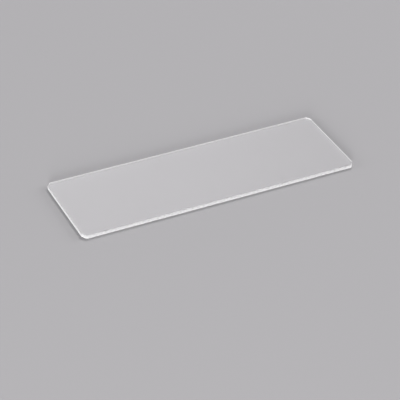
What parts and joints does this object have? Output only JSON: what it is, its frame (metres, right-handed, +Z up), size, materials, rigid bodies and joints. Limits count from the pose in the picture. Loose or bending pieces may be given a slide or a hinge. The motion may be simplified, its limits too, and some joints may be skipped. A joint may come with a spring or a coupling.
{
  "type": "microscope slide",
  "caption": "Plain clear glass microscope slide: a thin flat plate with clipped corners and ground, bevelled edges, for holding a specimen on a microscope stage.",
  "frame": {"origin": "middle of the underside, on the plane that the slide lies on", "axes": "+X along the slide's length, +Y across its width, +Z up through the glass"},
  "size_m": [0.075, 0.025, 0.001],
  "materials": {
    "clear_glass": "polished clear faces, finely ground frosted edges"
  },
  "bodies": {
    "root": {"glass_slide": "clear_glass"}
  },
  "joints": []
}
